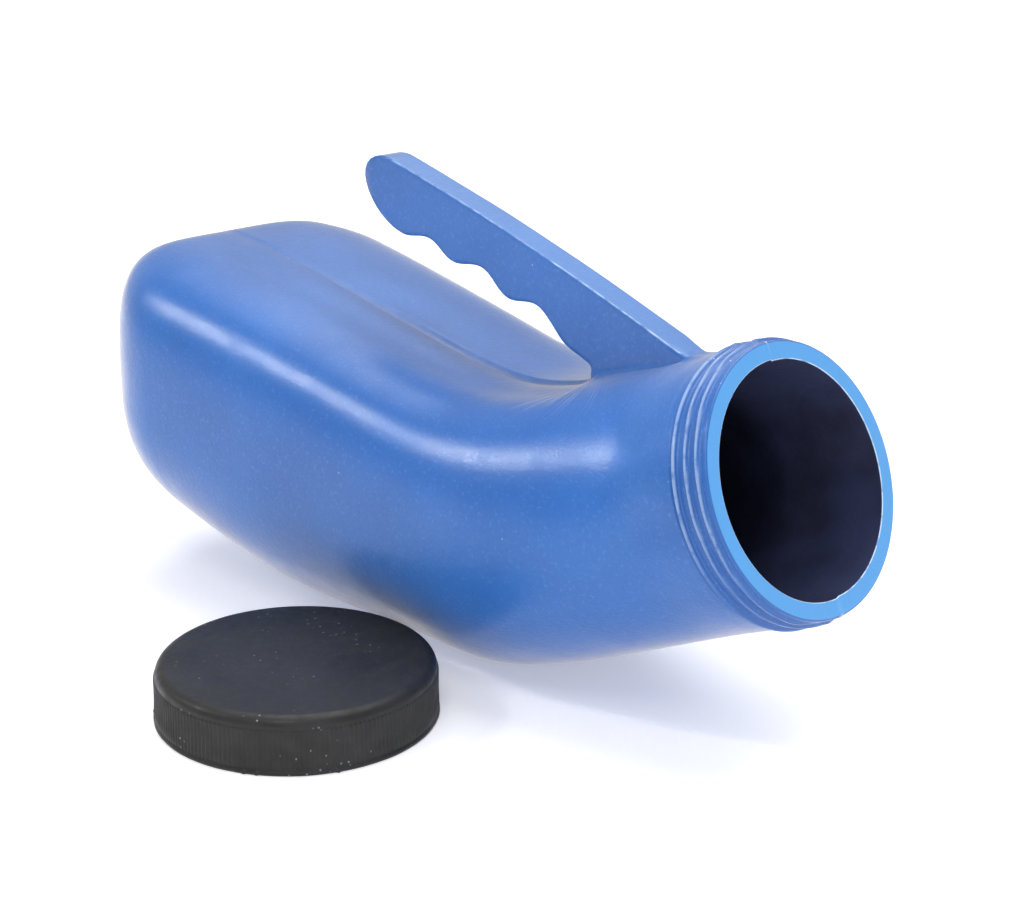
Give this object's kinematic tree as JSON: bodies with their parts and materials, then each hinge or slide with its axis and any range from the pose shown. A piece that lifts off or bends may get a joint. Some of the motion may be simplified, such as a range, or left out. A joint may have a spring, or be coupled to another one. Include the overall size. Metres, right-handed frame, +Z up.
{
  "type": "urine bottle",
  "caption": "Hand-held urine bottle lying on its belly: rounded hollow body, upturned threaded mouth, blade handle with finger grooves, and a loose ribbed screw cap with liner.",
  "frame": {"origin": "on the table, under the middle of the flat on the bottle's belly", "axes": "+X along the bottle towards its mouth, +Z up from the table, the bottle's mid-plane is Y = 0 and the cap lies on the -Y side"},
  "size_m": [0.225, 0.1468, 0.1197],
  "materials": {
    "bottle_plastic": "satin blow-moulded polyethylene, mid blue, fine peel texture",
    "cap_plastic": "black moulded polypropylene, satin top and finely ribbed skirt",
    "liner_foam": "off-white closed-cell foam disc"
  },
  "bodies": {
    "bottle": {"bottle_body": "bottle_plastic", "neck_finish": "bottle_plastic", "handle": "bottle_plastic"},
    "cap_liner": {"cap_liner": "liner_foam"},
    "cap": {"cap": "cap_plastic"}
  },
  "joints": [
    {"name": "cap_slide", "type": "slide", "parent": "bottle", "child": "cap_liner", "axis": [0, -1, 0], "range_m": [0, 0.12]},
    {"name": "cap_turn", "type": "hinge", "parent": "cap_liner", "child": "cap", "pos_m": [0.0159, -0.0667, 0], "axis": [0, 0, 1], "continuous": true}
  ]
}
